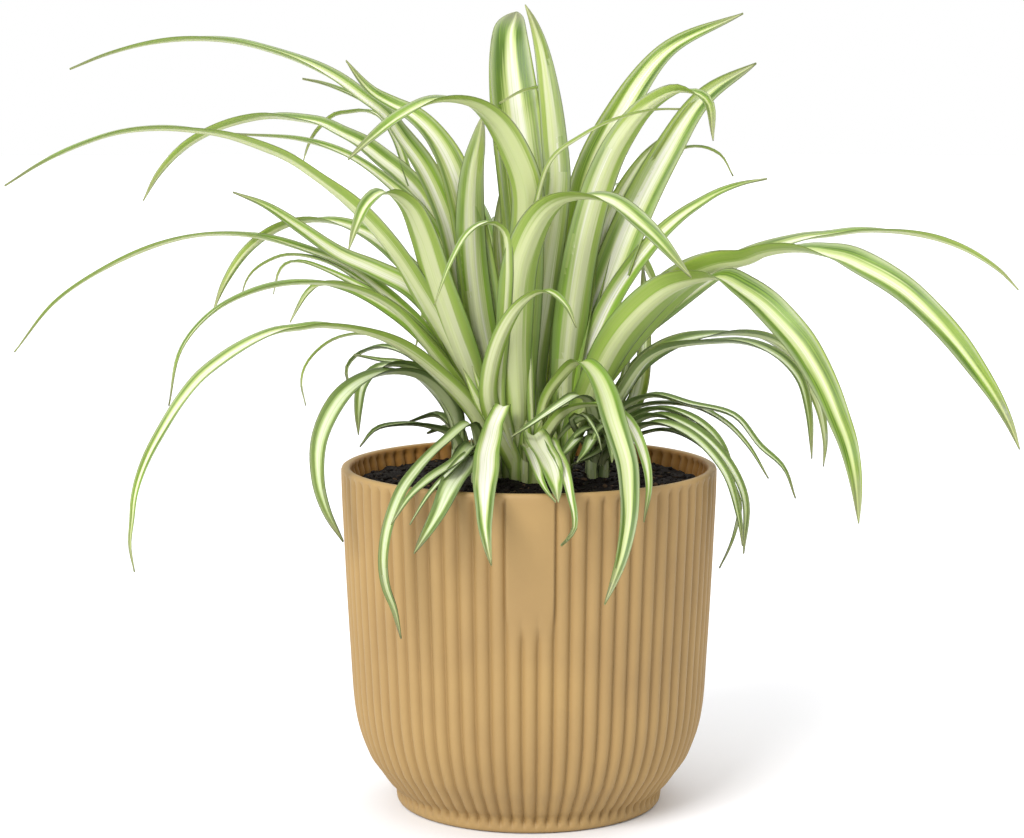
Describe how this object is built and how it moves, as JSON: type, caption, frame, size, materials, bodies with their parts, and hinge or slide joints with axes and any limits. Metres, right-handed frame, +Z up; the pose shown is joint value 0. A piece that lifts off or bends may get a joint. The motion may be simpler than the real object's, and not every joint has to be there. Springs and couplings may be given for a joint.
{
  "type": "potted spider plant",
  "caption": "Spider plant with long arching striped leaves growing in dark soil in a round tapered pot with fine upright ribs; stands on its flat base.",
  "frame": {"origin": "the middle of the pot's flat base", "axes": "+Z up along the pot's axis; +X to the right as seen from the front, along the plant's longest spread; the front faces -Y"},
  "size_m": [0.3986, 0.2496, 0.2974],
  "materials": {
    "pot_plastic": "moulded polypropylene in a warm tan, matt, with fine upright ribs",
    "potting_soil": "moist peat and bark potting mix, almost black, loose crumbs",
    "striped_leaf": "living leaf, satin, fresh green margins and a cream stripe along the middle",
    "small_leaf": "living leaf, satin, darker green margins and a narrow near-white stripe"
  },
  "bodies": {
    "root": {"pot": "pot_plastic", "soil": "potting_soil", "shoot_left": "striped_leaf", "shoot_centre": "striped_leaf", "shoot_right": "striped_leaf", "shoot_front": "striped_leaf", "shoot_back": "striped_leaf", "tuft_left": "small_leaf", "tuft_right": "small_leaf", "tuft_front": "small_leaf"}
  },
  "joints": []
}
